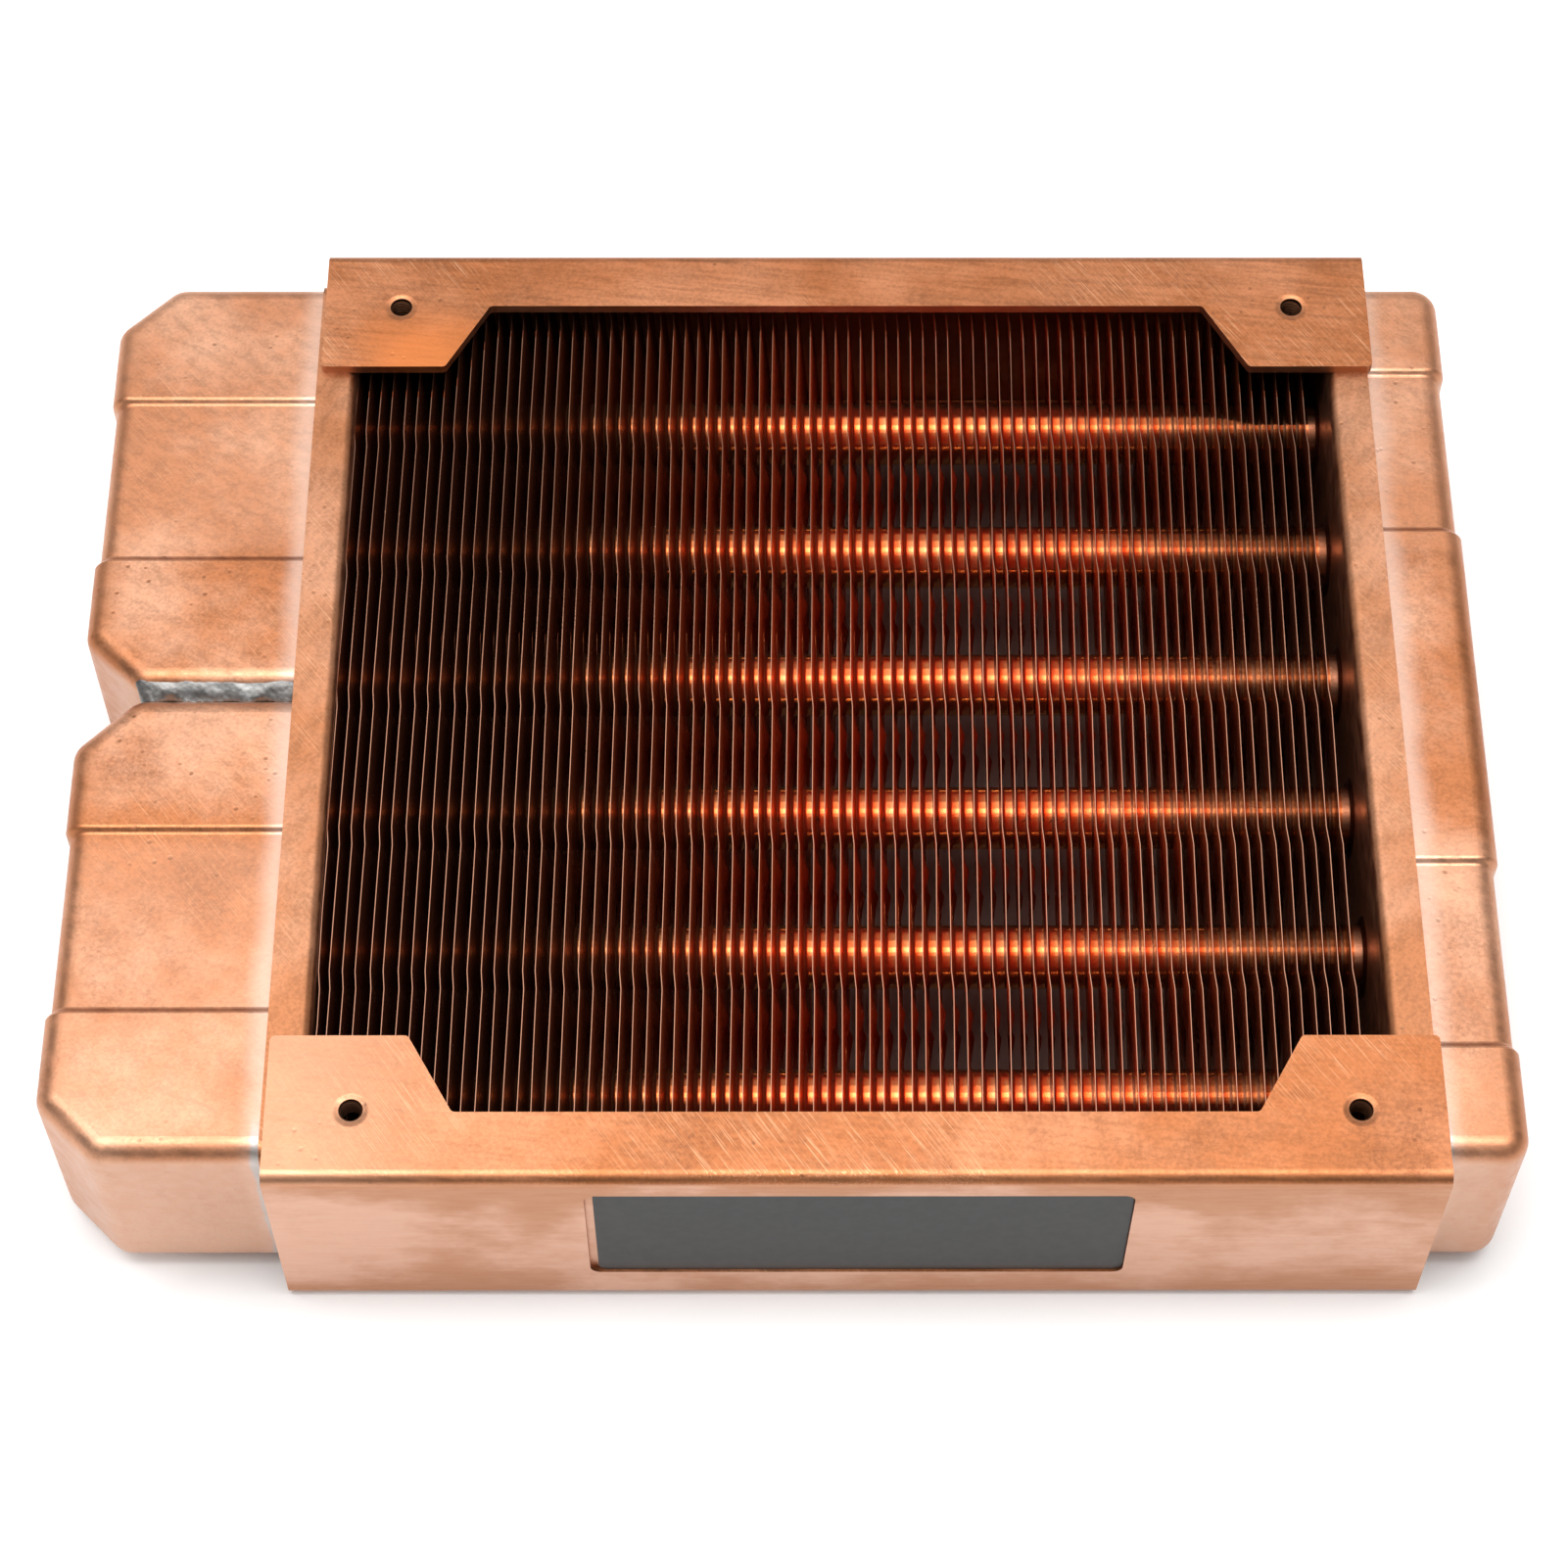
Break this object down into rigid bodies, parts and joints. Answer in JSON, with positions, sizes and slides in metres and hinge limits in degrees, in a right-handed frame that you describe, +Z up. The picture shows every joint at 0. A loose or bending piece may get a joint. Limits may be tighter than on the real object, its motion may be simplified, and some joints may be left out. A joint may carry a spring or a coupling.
{
  "type": "liquid cooling radiator",
  "caption": "Flat copper water-cooling radiator with finned tubes between a split supply tank and a return tank, held by two folded side plates with fan screw holes.",
  "frame": {"origin": "midway between the fan screw holes, on the lower flange face", "axes": "+X towards the return tank, along the tubes; +Y towards the rear side plate; +Z up, through the core"},
  "size_m": [0.1563, 0.1216, 0.029],
  "materials": {
    "plate_copper": "brushed copper sheet, satin",
    "tray_copper": "brushed copper sheet, lightly browned",
    "tank_copper": "pressed copper, satin, darker at the edges",
    "fin_copper": "thin rolled copper",
    "tube_copper": "drawn copper, bright",
    "port_brass": "turned brass",
    "name_plate_grey": "plain dark grey, smooth",
    "solder": "tin solder, dull silver"
  },
  "bodies": {
    "root": {"corner_seam_solder": "solder", "fins": "fin_copper", "front_side_plate": "plate_copper", "gap_solder_bottom": "solder", "gap_solder_top": "solder", "inlet_port_bush": "port_brass", "inlet_tank_shell": "tank_copper", "left_header_tray": "tray_copper", "left_tube_solder": "solder", "name_plate": "name_plate_grey", "outlet_port_bush": "port_brass", "outlet_tank_shell": "tank_copper", "rear_side_plate": "plate_copper", "return_tank_shell": "tank_copper", "right_header_tray": "tray_copper", "right_tube_solder": "solder", "tube_1": "tube_copper", "tube_2": "tube_copper", "tube_3": "tube_copper", "tube_4": "tube_copper", "tube_5": "tube_copper", "tube_6": "tube_copper"}
  },
  "joints": []
}
